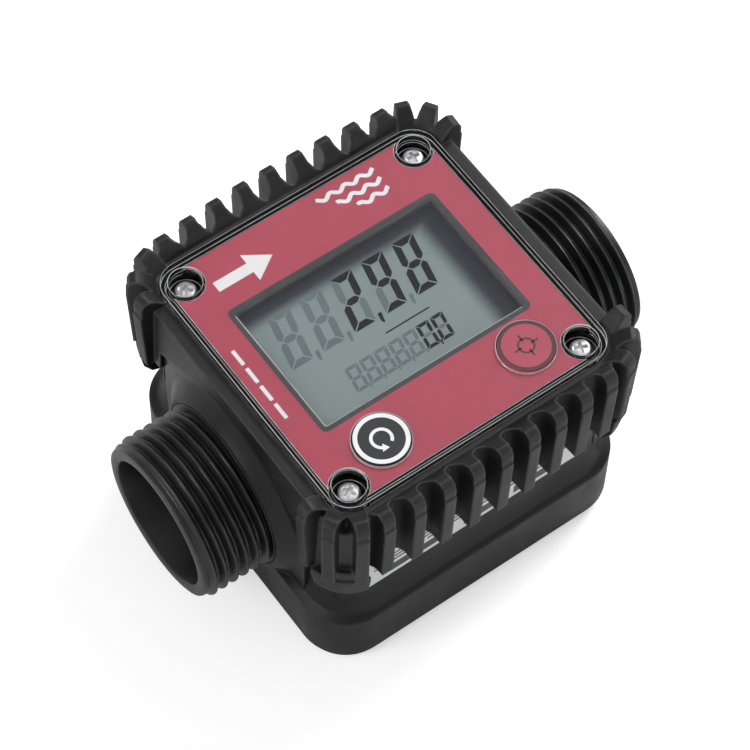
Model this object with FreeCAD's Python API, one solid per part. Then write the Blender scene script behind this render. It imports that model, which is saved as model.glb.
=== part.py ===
"""Turbine flow meter with a finned guard round its display, in millimetres.

The pipe runs along X, the display faces +Z and the foot rests on Z = 0 below the middle of the pipe.
"""
import FreeCAD, Part

import math
import os

from FreeCAD import Vector

# The square cover sets the size of the whole housing
cover_half = 30.5
cover_corner = 5.0
cover_thickness = 0.9
cover_rim_width = 1.3
cover_rim_depth = 2.6
pocket_radius = 3.2
pocket_wall = 0.5
pocket_floor = 1.0
boss_wall = 1.4
ledge_width = 2.2
screw_inset = 4.75

# Guard: a square frame with upright fins that fan out round each corner
guard_height = 16.8
band_drop = 1.3
guard_wall_x = 3.0
guard_wall_y = 1.7
guard_corner = 6.5
side_draft = 0.8
fin_pitch = 6.15
fins_per_side = 9
fin_rise = 2.1
fin_tip_radius = 1.8
fin_crest_run = 1.5
fin_crest_drop = 0.8
fin_slope_run = 2.9
fin_lean_width = 0.5
fin_step_width = 0.3
fin_step_drop = 0.8
fin_reach_middle = 5.5
fin_bow_radius = 215.0
fin_outer_width = 2.3
fin_inner_width = 2.7
fin_flare_width = 3.8
flare_root_reach = 0.3
flare_middle_reach = 1.1
flare_end_reach = 2.1
fan_inset = 4.2
fan_root = 4.4
fan_radius = 9.7
fan_angles = (20.0, 57.0, 93.0)
groove_radius = 8.0
groove_panel_radius = 9.1
groove_drop = 1.0
groove_panel_height = 2.8

# Housing below the guard
neck_step = 1.1
neck_corner = 8.0
neck_height = 13.3
shoulder_height = 7.3
foot_step_x = 3.3
foot_step_y = 2.6
foot_corner = 9.7
foot_fillet = 2.6
foot_edge_steps = 2
shoulder_steps = 3
post_radius = 9.3
post_side_width = 3.9
post_band_height = 1.4
post_curve_drop = 8.4
post_curve_depth = 4.6
post_steps = 3
front_inset = 0.1
front_half_y = 22.5
front_thickness = 5.5
gable_low_height = 5.2
gable_high_height = 12.6
gable_half = 6.0
collar_reach = 2.6
collar_flare = 3.0
collar_wall = 0.9
collar_steps = 3
saddle_wall = 1.8

# Flow tube and its threaded spigots (1 inch parallel pipe thread, drawn at its major diameter)
axis_height = 26.8
spigot_radius = 16.62
land_radius = 16.9
spigot_length = 14.6
tube_chamfer = 1.1
bore_radius = 13.1
chamber_radius = 12.4
chamber_half = 13.0

# Label, display and circuit board
label_margin = 1.5
label_corner = 1.2
label_thickness = 0.15
film_gap = 0.05
window_inset_x = 8.2
window_inset_y = 15.9
window_middle_y = 0.9
window_border = 0.6
window_border_corner = 1.2
window_corner = 0.6
frame_plate = 1.2
frame_lip = 0.6
frame_wall = 0.8
panel_thickness = 1.8
panel_depth = 2.2
strip_height = 1.0
strip_width = 1.6
strip_inset = 2.0
board_inset = 4.1
board_thickness = 1.6
board_corner = 1.0
board_corner_cut = 5.6
gasket_width = 1.7
gasket_thickness = 0.8
pillar_radius = 2.0
pillar_inset_x = 8.9
pillar_inset_y = 2.2

# Buttons and the switches under them
reset_inset_x = 14.7
reset_inset_y = 8.9
cal_inset_x = 13.7
cal_inset_y = 9.5
button_radius = 5.3
button_proud = 0.25
button_flange_width = 0.4
button_flange_thickness = 0.6
button_stem_radius = 1.6
button_travel = 0.6
switch_half = 2.6
switch_height = 1.2
plunger_radius = 1.2
plunger_height = 0.5

# Screws
cover_head_radius = 2.1
cover_head_height = 1.7
cover_head_sunk = 2.4
cover_screw_radius = 1.25
cover_screw_length = 22.0
hatch_head_radius = 2.1
hatch_head_height = 1.2
hatch_screw_radius = 1.2
hatch_hole_roof = 0.2
hatch_tip_gap = 1.1

# Battery bays and their hatch in the foot
cell_radius = 5.2
cell_length = 44.0
cell_nub_radius = 1.9
cell_nub_height = 0.9
cell_inset = 7.6
contact_thickness = 0.4
contact_bulge = 1.1
contact_width = 7.0
contact_half = 4.1
contact_flat = 1.2
bay_clearance = 0.3
lead_hole_radius = 1.2
lead_hole_x = 9.0
hatch_margin_x = 5.3
hatch_margin_y = 3.2
hatch_screw_inset = 3.0
hatch_corner = 6.5
hatch_thickness = 2.0
hatch_inset = 0.3

# Rotor and what carries it
hub_radius = 4.4
hub_edge = 1.0
rotor_half = 9.0
blade_count = 6
blade_thickness = 1.1
blade_pitch = 26.0
blade_half = 6.5
blade_root = 2.9
shaft_radius = 1.0
shaft_end_gap = 0.3
bush_outer_radius = 2.2
bush_length = 3.4
bush_proud = 0.5
guide_length = 8.0
guide_ring_wall = 1.2
guide_vanes = 4
guide_vane_thickness = 1.2
guide_nose = 5.0
nose_steps = 2
magnet_radius = 1.0
magnet_length = 3.0
magnet_offset = 2.8
ring_thickness = 1.2
ring_inner_width = 1.6
ring_gap_angle = 40.0
sensor_half_x = 2.05
sensor_half_y = 1.5
sensor_height = 0.6

# Rating sticker on the front wall of the neck
sticker_left_margin = 1.5
sticker_right_margin = 5.3
sticker_bottom_margin = 0.7
sticker_top_margin = 1.0
sticker_thickness = 0.12

# How far joined shapes run into each other, and how far cuts run past a face
overlap = 0.5
overcut = 1.0

# Named clearances
running_gap = 0.3
button_gap = 0.2
slip_fit = 0.1
shaft_fit = 0.04

EAST = Vector(1, 0, 0)
NORTH = Vector(0, 1, 0)
UP = Vector(0, 0, 1)
corners = [(sx, sy) for sx in (-1, 1) for sy in (-1, 1)]

# Heights, from the pipe axis up to the cover and the fins, and down to the foot
tube_hole = land_radius + slip_fit
saddle_radius = tube_hole + saddle_wall
board_under = axis_height + saddle_radius + sensor_height
board_top = board_under + board_thickness
panel_under = board_top + strip_height
panel_top = panel_under + panel_thickness
label_under = panel_top + panel_depth
label_top = label_under + label_thickness
frame_under = label_under - frame_plate
cover_under = label_top + film_gap
cover_top = cover_under + cover_thickness
rim_bottom = cover_top - cover_rim_depth
ledge_top = rim_bottom - gasket_thickness
seat_top = cover_top - cover_head_sunk - cover_head_height
boss_top = seat_top - pocket_floor
fin_top = cover_top + fin_rise
band_top = cover_top - band_drop
fin_step_top = band_top - fin_step_drop
groove_top = band_top - groove_drop
guard_bottom = band_top - guard_height
groove_panel_top = guard_bottom + groove_panel_height
gable_low = guard_bottom + gable_low_height
gable_high = guard_bottom + gable_high_height
post_curve_top = guard_bottom - post_band_height
neck_start = guard_bottom - neck_height
foot_wall_top = neck_start - shoulder_height
hatch_top = hatch_inset + hatch_thickness
hatch_hole_top = axis_height - tube_hole - hatch_hole_roof
cell_height = hatch_top + bay_clearance + cell_radius
bay_top = cell_height + cell_radius + bay_clearance
plunger_top = board_top + switch_height + plunger_height
stem_bottom = plunger_top + button_travel + slip_fit
flange_top = frame_under - slip_fit
flange_bottom = flange_top - button_flange_thickness

# Plan sizes, from the cover outward and inward
guard_half_x = cover_half + guard_wall_x
guard_half_y = cover_half + guard_wall_y
fan_centre = cover_half - fan_inset
front_x = guard_half_x - front_inset
front_inner_x = front_x - front_thickness
spigot_start = front_x + collar_reach
tube_reach = spigot_start + spigot_length
neck_half = cover_half + neck_step
post_side = neck_half - post_side_width
foot_half_x = neck_half + foot_step_x
foot_half_y = neck_half + foot_step_y
screw_half = cover_half - screw_inset
ledge_half = cover_half - ledge_width
boss_radius = pocket_radius + pocket_wall + boss_wall
label_half = cover_half - label_margin
window_half_x = cover_half - window_inset_x
window_half_y = cover_half - window_inset_y
strip_half = window_half_x - strip_inset
board_half = cover_half - board_inset
pillar_x = board_half - pillar_inset_x
pillar_y = board_half - pillar_inset_y
reset_place = (reset_inset_x - cover_half, reset_inset_y - cover_half)
cal_place = (cover_half - cal_inset_x, cal_inset_y - cover_half)
hatch_half_x = foot_half_x - hatch_margin_x
hatch_half_y = foot_half_y - hatch_margin_y
hatch_screw_x = hatch_half_x - hatch_screw_inset
cell_y = neck_half - cell_inset
bay_half_x = cell_length / 2 + contact_bulge + contact_thickness + cell_nub_height
bay_half_y = cell_radius + bay_clearance

# Pieces inside the bore
guide_start = chamber_half
guide_end = guide_start + guide_length
guide_radius = bore_radius - slip_fit
tip_radius = chamber_radius - running_gap


def arc(centre, radius, start, end, z=0.0):
    """Arc in the XY plane, angles in degrees."""
    points = []
    for angle in (start, (start + end) / 2, end):
        turn = math.radians(angle)
        points.append(Vector(centre[0] + radius * math.cos(turn), centre[1] + radius * math.sin(turn), z))
    return Part.Arc(*points).toShape()


def rounded_rect(half_x, half_y, radius, z=0.0, middle=(0.0, 0.0)):
    """Wire of a rectangle with round corners."""
    x, y = middle
    inner_x, inner_y = half_x - radius, half_y - radius
    edges = []
    for quarter, (sx, sy) in enumerate(((1, 1), (-1, 1), (-1, -1), (1, -1))):
        centre = (x + sx * inner_x, y + sy * inner_y)
        edges.append(arc(centre, radius, 90 * quarter, 90 * quarter + 90, z))
    sides = []
    for first, second in zip(edges, edges[1:] + edges[:1]):
        start = first.valueAt(first.LastParameter)
        sides.append(Part.makeLine(start, second.valueAt(second.FirstParameter)))
    loop = [edge for pair in zip(edges, sides) for edge in pair]
    return Part.Wire(loop)


def block(half_x, half_y, radius, bottom, top, middle=(0.0, 0.0)):
    """Upright prism with a rounded rectangular plan."""
    face = Part.Face(rounded_rect(half_x, half_y, radius, bottom, middle))
    return face.extrude(UP * (top - bottom))


def box(x0, x1, y0, y1, z0, z1):
    """Box between two corners."""
    return Part.makeBox(x1 - x0, y1 - y0, z1 - z0, Vector(x0, y0, z0))


def post(radius, bottom, top, place=(0.0, 0.0)):
    """Upright cylinder."""
    return Part.makeCylinder(radius, top - bottom, Vector(place[0], place[1], bottom))


def along_pipe(radius, start, end):
    """Cylinder on the pipe axis."""
    return Part.makeCylinder(radius, end - start, Vector(start, 0, axis_height), EAST)


def turned(profile):
    """Solid of revolution about the pipe axis from (x, radius) corners."""
    points = [Vector(x, 0, axis_height + r) for x, r in profile]
    face = Part.Face(Part.makePolygon(points + points[:1]))
    return face.revolve(Vector(0, 0, axis_height), EAST, 360)


def mirrored_x(shape):
    """The same shape on the other side of the YZ plane."""
    return shape.mirror(Vector(0, 0, 0), EAST)


def in_corner(shape, sx, sy):
    """A shape drawn in the +X +Y corner, moved to another corner by mirroring."""
    if sx < 0:
        shape = mirrored_x(shape)
    if sy < 0:
        shape = shape.mirror(Vector(0, 0, 0), NORTH)
    return shape


def fused(shapes):
    """One solid from overlapping shapes."""
    return shapes[0].multiFuse(shapes[1:]).removeSplitter()


def gable(half_y, low, high, half_top, bottom, x0, x1):
    """Upright gabled slab between x0 and x1."""
    outline = [(-half_y, bottom), (half_y, bottom), (half_y, low), (half_top, high), (-half_top, high),
               (-half_y, low)]
    points = [Vector(x0, y, z) for y, z in outline]
    face = Part.Face(Part.makePolygon(points + points[:1]))
    return face.extrude(EAST * (x1 - x0))


def foot_solid():
    """Foot with a rounded bottom edge, a coved shoulder and the neck above it."""
    sections = []
    for step in range(foot_edge_steps + 1):
        turn = math.pi / 2 * step / foot_edge_steps
        inset = foot_fillet * (1 - math.sin(turn))
        z = foot_fillet * (1 - math.cos(turn))
        sections.append(rounded_rect(foot_half_x - inset, foot_half_y - inset, foot_corner - inset, z))
    for step in range(shoulder_steps + 1):
        turn = math.pi / 2 * step / shoulder_steps
        inward = math.sin(turn)
        z = foot_wall_top + (neck_start - foot_wall_top) * (1 - math.cos(turn))
        half_x = foot_half_x + (neck_half - foot_half_x) * inward
        half_y = foot_half_y + (neck_half - foot_half_y) * inward
        radius = foot_corner + (neck_corner - foot_corner) * inward
        sections.append(rounded_rect(half_x, half_y, radius, z))
    sections.append(rounded_rect(neck_half, neck_half, neck_corner, guard_bottom))
    return Part.makeLoft(sections, True, True)


def corner_posts():
    """Round posts under the guard's corners, curving in to the shoulder."""
    outline = [(0, guard_bottom), (post_radius, guard_bottom)]
    for step in range(post_steps + 1):
        turn = math.pi / 2 * step / post_steps
        outline.append((post_radius - post_curve_depth * (1 - math.cos(turn)),
                        post_curve_top - post_curve_drop * math.sin(turn)))
    outline += [(post_radius - post_curve_depth, foot_wall_top), (0, foot_wall_top)]
    points = [Vector(r, 0, z) for r, z in outline]
    column = Part.Face(Part.makePolygon(points + points[:1])).revolve(Vector(0, 0, 0), UP, 360)
    reach = fan_centre + post_radius + overcut
    column.translate(Vector(fan_centre, fan_centre, 0))
    corner = column.common(box(post_side, reach, post_side, reach, foot_wall_top, guard_bottom))
    return [in_corner(corner, sx, sy) for sx, sy in corners]


def collar():
    """Flared ring where the spigot leaves the housing."""
    outer = []
    for step in range(collar_steps + 1):
        turn = math.pi / 2 * step / collar_steps
        x = front_x + collar_reach * math.sin(turn)
        r = tube_hole + collar_wall + collar_flare * (1 - math.sin(turn)) * math.cos(turn)
        outer.append((x, r))
    return turned([(front_inner_x, tube_hole)] + [(front_inner_x, outer[0][1])] + outer
                  + [(front_x + collar_reach, tube_hole)])


def meter_body():
    shapes = [foot_solid()] + corner_posts()
    shapes.append(along_pipe(saddle_radius, -front_inner_x - overlap, front_inner_x + overlap))
    front = gable(front_half_y, gable_low, gable_high, gable_half, foot_wall_top, front_inner_x, front_x)
    flare = collar()
    shapes += [front, mirrored_x(front), flare, mirrored_x(flare)]
    for sx, sy in corners:
        place = (sx * pillar_x, sy * pillar_y)
        shapes.append(post(pillar_radius, guard_bottom - overcut, board_under, place))
    body = fused(shapes)
    body = body.cut(along_pipe(tube_hole, -tube_reach, tube_reach))
    cuts = [block(hatch_half_x + slip_fit, hatch_half_y + slip_fit, hatch_corner + slip_fit, 0, hatch_top)]
    for side in (-1, 1):
        near, far = side * cell_y - bay_half_y, side * cell_y + bay_half_y
        cuts.append(box(-bay_half_x, bay_half_x, near, far, hatch_top, bay_top))
        cuts.append(post(lead_hole_radius, bay_top - overcut, guard_bottom + overcut,
                         (side * lead_hole_x, side * cell_y)))
        cuts.append(post(hatch_screw_radius, hatch_top, hatch_hole_top, (side * hatch_screw_x, 0)))
    hole_bottom = seat_top - cover_screw_length - running_gap
    for sx, sy in corners:
        place = (sx * screw_half, sy * screw_half)
        cuts.append(post(cover_screw_radius, hole_bottom, guard_bottom + overcut, place))
    return body.cut(Part.makeCompound(cuts))


def flow_tube():
    """Tube with a narrower measuring chamber between two shoulders."""
    half = [(0, chamber_radius), (chamber_half, chamber_radius), (chamber_half, bore_radius),
            (tube_reach, bore_radius), (tube_reach, spigot_radius - tube_chamfer),
            (tube_reach - tube_chamfer, spigot_radius), (spigot_start, spigot_radius),
            (spigot_start, land_radius), (0, land_radius)]
    right = turned(half)
    return fused([right, mirrored_x(right)])


def fin_side(reach, root):
    """Outline of a fin seen from its side, as (distance, height) corners."""
    crest = reach + fin_lean_width - fin_step_width - fin_tip_radius
    cut = fin_tip_radius * (1 - math.sqrt(0.5))
    outline = [(root, guard_bottom), (reach, guard_bottom), (reach + fin_lean_width, fin_step_top),
               (reach + fin_lean_width - fin_step_width, fin_step_top + fin_step_width),
               (crest + fin_tip_radius, fin_top - fin_tip_radius),
               (crest + fin_tip_radius - cut, fin_top - cut), (crest, fin_top),
               (crest - fin_crest_run, fin_top - fin_crest_drop)]
    slope_end = crest - fin_crest_run - fin_slope_run
    if slope_end > root:
        outline.append((slope_end, band_top))
    return outline + [(root, band_top)]


def fin_plan(reach, root, flared):
    """Half outline of a fin seen from above, as (distance, half width) corners."""
    end = [(reach, fin_outer_width / 2)]
    if not flared:
        return [(root, fin_flare_width / 2)] + end
    return [(root, fin_pitch / 2), (guard_half_y + flare_root_reach, fin_pitch / 2),
            (guard_half_y + flare_middle_reach, fin_flare_width / 2),
            (guard_half_y + flare_end_reach, fin_inner_width / 2)] + end


def fin(reach, root, angle, place, flared):
    """One fin, pointing outward at an angle from a place on the frame."""
    points = [Vector(x, -fin_pitch / 2, z) for x, z in fin_side(reach, root)]
    side = Part.Face(Part.makePolygon(points + points[:1])).extrude(NORTH * fin_pitch)
    half = fin_plan(reach + fin_lean_width, root, flared)
    points = [Vector(x, y, guard_bottom) for x, y in half]
    points += [Vector(x, -y, guard_bottom) for x, y in reversed(half)]
    upright = Part.Face(Part.makePolygon(points + points[:1])).extrude(UP * (fin_top - guard_bottom))
    whole = side.common(upright)
    whole.rotate(Vector(0, 0, 0), UP, angle)
    whole.translate(Vector(place[0], place[1], 0))
    return whole


def all_fins():
    """Rows along the two long walls and a fan round each corner."""
    fins = []
    middle = (fins_per_side - 1) / 2
    for index in range(fins_per_side):
        x = (index - middle) * fin_pitch
        reach = guard_half_y + fin_reach_middle - x * x / (2 * fin_bow_radius)
        for angle in (90, -90):
            fins.append(fin(reach, guard_half_y - overlap, angle, (x, 0), True))
    for sx, sy in corners:
        for turn in fan_angles:
            angle = 90 - turn if sx > 0 else 90 + turn
            place = (sx * fan_centre, sy * fan_centre)
            fins.append(fin(fan_radius, fan_root, angle * sy, place, False))
    return fins


def groove_fillers():
    """Shallow wall between the two middle fins of each fan, with a panel at its foot."""
    shapes = []
    first, second = fan_angles[0], fan_angles[1]
    for sx, sy in corners:
        start = 90 - second
        for radius, top in ((groove_radius, groove_top), (groove_panel_radius, groove_panel_top)):
            wedge = Part.makeCylinder(radius, top - guard_bottom, Vector(0, 0, guard_bottom), UP,
                                      second - first)
            wedge.rotate(Vector(0, 0, 0), UP, start)
            wedge.translate(Vector(fan_centre, fan_centre, 0))
            shapes.append(in_corner(wedge, sx, sy))
    return shapes


def finned_guard():
    sections = [rounded_rect(guard_half_x + side_draft, guard_half_y, guard_corner, guard_bottom),
                rounded_rect(guard_half_x, guard_half_y, guard_corner, band_top)]
    frame = Part.makeLoft(sections, True, True)
    frame = fused([frame] + all_fins() + groove_fillers())
    opening = block(ledge_half, ledge_half, cover_corner, guard_bottom - overcut, ledge_top)
    for sx, sy in corners:
        opening = opening.cut(post(boss_radius, guard_bottom - overcut, boss_top,
                                   (sx * screw_half, sy * screw_half)))
    seat = block(cover_half + button_gap, cover_half + button_gap, cover_corner + button_gap, ledge_top,
                 fin_top + overcut)
    port_gap = gable(front_half_y + slip_fit, gable_low, gable_high, gable_half,
                     guard_bottom - overcut, front_inner_x, guard_half_x + side_draft + overcut)
    cuts = [opening, seat, port_gap, mirrored_x(port_gap)]
    for sx, sy in corners:
        place = (sx * screw_half, sy * screw_half)
        cuts.append(post(pocket_radius + pocket_wall + slip_fit, boss_top, ledge_top + overcut, place))
        cuts.append(post(cover_screw_radius + slip_fit, guard_bottom - overcut, boss_top + overcut, place))
    return frame.cut(Part.makeCompound(cuts))


def clear_cover():
    inner = cover_half - cover_rim_width
    plate = block(cover_half, cover_half, cover_corner, rim_bottom, cover_top)
    plate = plate.cut(block(inner, inner, cover_corner - cover_rim_width, rim_bottom, cover_under))
    shapes = [plate]
    cuts = []
    for sx, sy in corners:
        place = (sx * screw_half, sy * screw_half)
        shapes.append(post(pocket_radius + pocket_wall, boss_top, cover_under, place))
        cuts.append(post(pocket_radius, seat_top, cover_top + overcut, place))
        cuts.append(post(cover_screw_radius + slip_fit, boss_top - overcut, seat_top + overcut, place))
    for place in (reset_place, cal_place):
        cuts.append(post(button_radius + button_gap, rim_bottom, cover_top + overcut, place))
    return fused(shapes).cut(Part.makeCompound(cuts))


def pocket_clearances(bottom, top, radius):
    """Corner clearances for the cover's screw pockets and holes for the buttons."""
    cuts = []
    for sx, sy in corners:
        cuts.append(post(radius, bottom, top, (sx * screw_half, sy * screw_half)))
        cuts.append(in_corner(box(screw_half, label_half, screw_half, label_half, bottom, top), sx, sy))
    for place in (reset_place, cal_place):
        cuts.append(post(button_radius + button_gap, bottom, top, place))
    return Part.makeCompound(cuts)


def face_label():
    pocket = pocket_radius + pocket_wall + slip_fit
    sheet = block(label_half, label_half, label_corner, label_under, label_top)
    window = block(window_half_x + window_border, window_half_y + window_border, window_border_corner,
                   label_under, label_top, (0, window_middle_y))
    return sheet.cut(Part.makeCompound([window, pocket_clearances(label_under, label_top, pocket)]))


def around_window(half_x, half_y, bottom, top):
    """Box centred on the display window."""
    return box(-half_x, half_x, window_middle_y - half_y, window_middle_y + half_y, bottom, top)


def display_frame():
    """Plate under the label with a raised window border and a skirt round the display panel."""
    half = label_half - slip_fit
    middle = (0, window_middle_y)
    plate = block(half, half, label_corner, frame_under, label_under)
    border = block(window_half_x + window_border - slip_fit, window_half_y + window_border - slip_fit,
                   window_border_corner, label_under, label_top, middle)
    plate = plate.cut(pocket_clearances(frame_under, label_under, pocket_radius + pocket_wall + slip_fit))
    seat_x, seat_y = window_half_x + frame_lip, window_half_y + frame_lip
    skirt = around_window(seat_x + frame_wall, seat_y + frame_wall, board_top, frame_under)
    skirt = skirt.cut(around_window(seat_x, seat_y, board_top, panel_top))
    frame = fused([plate, border, skirt])
    return frame.cut(block(window_half_x, window_half_y, window_corner, board_top, label_top, middle))


def display_panel():
    margin = frame_lip - slip_fit
    return around_window(window_half_x + margin, window_half_y + margin, panel_under, panel_top)


def contact_strips():
    """Rubber strips that join the panel to the board."""
    shapes = []
    for side in (-1, 1):
        middle = window_middle_y + side * (window_half_y - 1.5 * strip_width)
        shapes.append(box(-strip_half, strip_half, middle - strip_width / 2,
                          middle + strip_width / 2, board_top, panel_under))
    return Part.makeCompound(shapes)


def circuit_board():
    board = block(board_half, board_half, board_corner, board_under, board_top)
    cuts = [post(board_corner_cut, board_under, board_top, (sx * screw_half, sy * screw_half))
            for sx, sy in corners]
    return board.cut(Part.makeCompound(cuts))


def push_switches():
    shapes = []
    for x, y in (reset_place, cal_place):
        base = box(x - switch_half, x + switch_half, y - switch_half, y + switch_half, board_top,
                   board_top + switch_height)
        shapes.append(base.fuse(post(plunger_radius, board_top + switch_height, plunger_top, (x, y))))
    return Part.makeCompound(shapes)


def button(place):
    """Push button held under the frame plate by its flange."""
    cap = post(button_radius, flange_top, cover_top + button_proud, place)
    flange = post(button_radius + button_flange_width, flange_bottom, flange_top, place)
    stem = post(button_stem_radius, stem_bottom, flange_bottom, place)
    return fused([cap, flange, stem])


def cover_gasket():
    outer, inner = cover_half - slip_fit, cover_half - gasket_width
    ring = block(outer, outer, cover_corner - slip_fit, ledge_top, rim_bottom)
    ring = ring.cut(block(inner, inner, cover_corner - gasket_width, ledge_top, rim_bottom))
    cuts = [post(pocket_radius + pocket_wall + slip_fit, ledge_top, rim_bottom,
                 (sx * screw_half, sy * screw_half)) for sx, sy in corners]
    return ring.cut(Part.makeCompound(cuts))


def cover_screws():
    shapes = []
    for sx, sy in corners:
        place = (sx * screw_half, sy * screw_half)
        head = post(cover_head_radius, seat_top, seat_top + cover_head_height, place)
        shank = post(cover_screw_radius, seat_top - cover_screw_length, seat_top, place)
        shapes.append(head.fuse(shank))
    return Part.makeCompound(shapes)


def flow_sensor():
    saddle_top = axis_height + saddle_radius
    return box(-sensor_half_x, sensor_half_x, -sensor_half_y, sensor_half_y, saddle_top, board_under)


def battery_cells():
    shapes = []
    for side in (-1, 1):
        start = Vector(-cell_length / 2, side * cell_y, cell_height)
        cell = Part.makeCylinder(cell_radius, cell_length, start, EAST)
        nub = Part.makeCylinder(cell_nub_radius, cell_nub_height, start + EAST * cell_length, EAST)
        whole = cell.fuse(nub)
        if side < 0:
            whole = mirrored_x(whole)
        shapes.append(whole)
    return Part.makeCompound(shapes)


def battery_contacts():
    """Bent leaf contacts at the ends of each bay."""
    shapes = []
    for side in (-1, 1):
        for end in (-1, 1):
            nub = cell_nub_height if end == side else 0.0
            wall = bay_half_x - contact_thickness
            touch = cell_length / 2 + nub
            bend = [(wall, -contact_half), (touch, -contact_flat), (touch, contact_flat),
                    (wall, contact_half)]
            outline = bend + [(x + contact_thickness, z) for x, z in reversed(bend)]
            points = [Vector(x, 0, cell_height + z) for x, z in outline]
            leaf = Part.Face(Part.makePolygon(points + points[:1])).extrude(NORTH * contact_width)
            leaf.translate(NORTH * (side * cell_y - contact_width / 2))
            shapes.append(leaf if end > 0 else mirrored_x(leaf))
    return Part.makeCompound(shapes)


def battery_hatch():
    hatch = block(hatch_half_x, hatch_half_y, hatch_corner, hatch_inset, hatch_top)
    cuts = []
    for side in (-1, 1):
        place = (side * hatch_screw_x, 0)
        cuts.append(post(hatch_head_radius + slip_fit, 0, hatch_inset + hatch_head_height, place))
        cuts.append(post(hatch_screw_radius + slip_fit, 0, hatch_top, place))
    return hatch.cut(Part.makeCompound(cuts))


def hatch_screws():
    shapes = []
    for side in (-1, 1):
        place = (side * hatch_screw_x, 0)
        seat = hatch_inset + hatch_head_height
        head = post(hatch_head_radius, hatch_inset, seat, place)
        shapes.append(head.fuse(post(hatch_screw_radius, seat, hatch_hole_top - hatch_tip_gap, place)))
    return Part.makeCompound(shapes)


def blade():
    """Flat blade set at a pitch to the axis, trimmed to the tip circle."""
    run = blade_half / math.cos(math.radians(blade_pitch)) + blade_thickness
    plate = box(-run, run, -blade_thickness / 2, blade_thickness / 2, blade_root, tip_radius + overcut)
    plate.rotate(Vector(0, 0, 0), UP, blade_pitch)
    limit = Part.makeCylinder(tip_radius, 2 * blade_half, Vector(-blade_half, 0, 0), EAST)
    return plate.common(limit)


def turbine_rotor():
    hub = [(-rotor_half, 0), (-rotor_half, hub_radius - hub_edge), (-rotor_half + hub_edge, hub_radius),
           (rotor_half - hub_edge, hub_radius), (rotor_half, hub_radius - hub_edge), (rotor_half, 0)]
    shapes = [turned(hub)]
    one = blade()
    for index in range(blade_count):
        copy = one.copy()
        copy.rotate(Vector(0, 0, 0), EAST, 360 * index / blade_count)
        copy.translate(UP * axis_height)
        shapes.append(copy)
    rotor = fused(shapes)
    cuts = [along_pipe(shaft_radius, -rotor_half, rotor_half)]
    for side in (-1, 1):
        start = Vector(-magnet_length / 2, 0, axis_height + side * magnet_offset)
        cuts.append(Part.makeCylinder(magnet_radius, rotor_half + magnet_length / 2, start, EAST))
    return rotor.cut(Part.makeCompound(cuts))


def rotor_magnets():
    shapes = []
    for side in (-1, 1):
        start = Vector(-magnet_length / 2, 0, axis_height + side * magnet_offset)
        shapes.append(Part.makeCylinder(magnet_radius, magnet_length, start, EAST))
    return Part.makeCompound(shapes)


def rotor_shaft():
    end = guide_start + bush_length - shaft_end_gap
    return along_pipe(shaft_radius, -end, end)


def guide():
    """Flow guide: ring, straight vanes and a hub with a round nose that holds a bush."""
    ring = turned([(guide_start, guide_radius - guide_ring_wall), (guide_start, guide_radius),
                   (guide_end, guide_radius), (guide_end, guide_radius - guide_ring_wall)])
    nose = []
    for step in range(nose_steps + 1):
        turn = math.pi / 2 * step / nose_steps
        nose.append((guide_end + guide_nose * math.sin(turn), hub_radius * math.cos(turn)))
    hub = turned([(guide_start, 0), (guide_start, hub_radius)] + nose)
    shapes = [ring, hub]
    for index in range(guide_vanes):
        vane = box(guide_start, guide_end, -guide_vane_thickness / 2, guide_vane_thickness / 2,
                   hub_radius - overlap, guide_radius - overlap)
        vane.rotate(Vector(0, 0, 0), EAST, 360 * (index + 0.5) / guide_vanes)
        vane.translate(UP * axis_height)
        shapes.append(vane)
    return fused(shapes).cut(along_pipe(bush_outer_radius, guide_start - overcut, guide_start + bush_length))


def bush():
    start = guide_start - bush_proud
    end = guide_start + bush_length
    return along_pipe(bush_outer_radius, start, end).cut(along_pipe(shaft_radius + shaft_fit, start, end))


def retaining_ring():
    """Split spring ring pushed into the bore against the guide."""
    ring = along_pipe(bore_radius, guide_end, guide_end + ring_thickness)
    ring = ring.cut(along_pipe(bore_radius - ring_inner_width, guide_end, guide_end + ring_thickness))
    half_gap = bore_radius * math.sin(math.radians(ring_gap_angle / 2))
    gap = box(guide_end, guide_end + ring_thickness, -half_gap, half_gap,
              axis_height - bore_radius - overcut, axis_height)
    return ring.cut(gap)


def rating_sticker():
    front = -neck_half
    return box(sticker_left_margin - post_side, post_side - sticker_right_margin, front - sticker_thickness,
               front, neck_start + sticker_bottom_margin, guard_bottom - sticker_top_margin)


parts = {
    "meter_body": meter_body,
    "flow_tube": flow_tube,
    "finned_guard": finned_guard,
    "clear_cover": clear_cover,
    "cover_gasket": cover_gasket,
    "face_label": face_label,
    "display_frame": display_frame,
    "display_panel": display_panel,
    "contact_strips": contact_strips,
    "circuit_board": circuit_board,
    "push_switches": push_switches,
    "reset_button": lambda: button(reset_place),
    "cal_button": lambda: button(cal_place),
    "cover_screws": cover_screws,
    "flow_sensor": flow_sensor,
    "battery_cells": battery_cells,
    "battery_contacts": battery_contacts,
    "battery_hatch": battery_hatch,
    "hatch_screws": hatch_screws,
    "turbine_rotor": turbine_rotor,
    "rotor_magnets": rotor_magnets,
    "rotor_shaft": rotor_shaft,
    "inlet_guide": lambda: mirrored_x(guide()),
    "outlet_guide": guide,
    "inlet_bush": lambda: mirrored_x(bush()),
    "outlet_bush": bush,
    "inlet_retaining_ring": lambda: mirrored_x(retaining_ring()),
    "outlet_retaining_ring": retaining_ring,
    "rating_sticker": rating_sticker,
}

os.makedirs("parts", exist_ok=True)
for name, make in parts.items():
    shape = make()
    print(name, len(shape.Solids), round(shape.Volume, 1), shape.isValid())
    shape.exportStep(f"parts/{name}.step")
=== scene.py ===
import math

import bmesh
import bpy
from mathutils import Matrix, Vector


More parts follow.
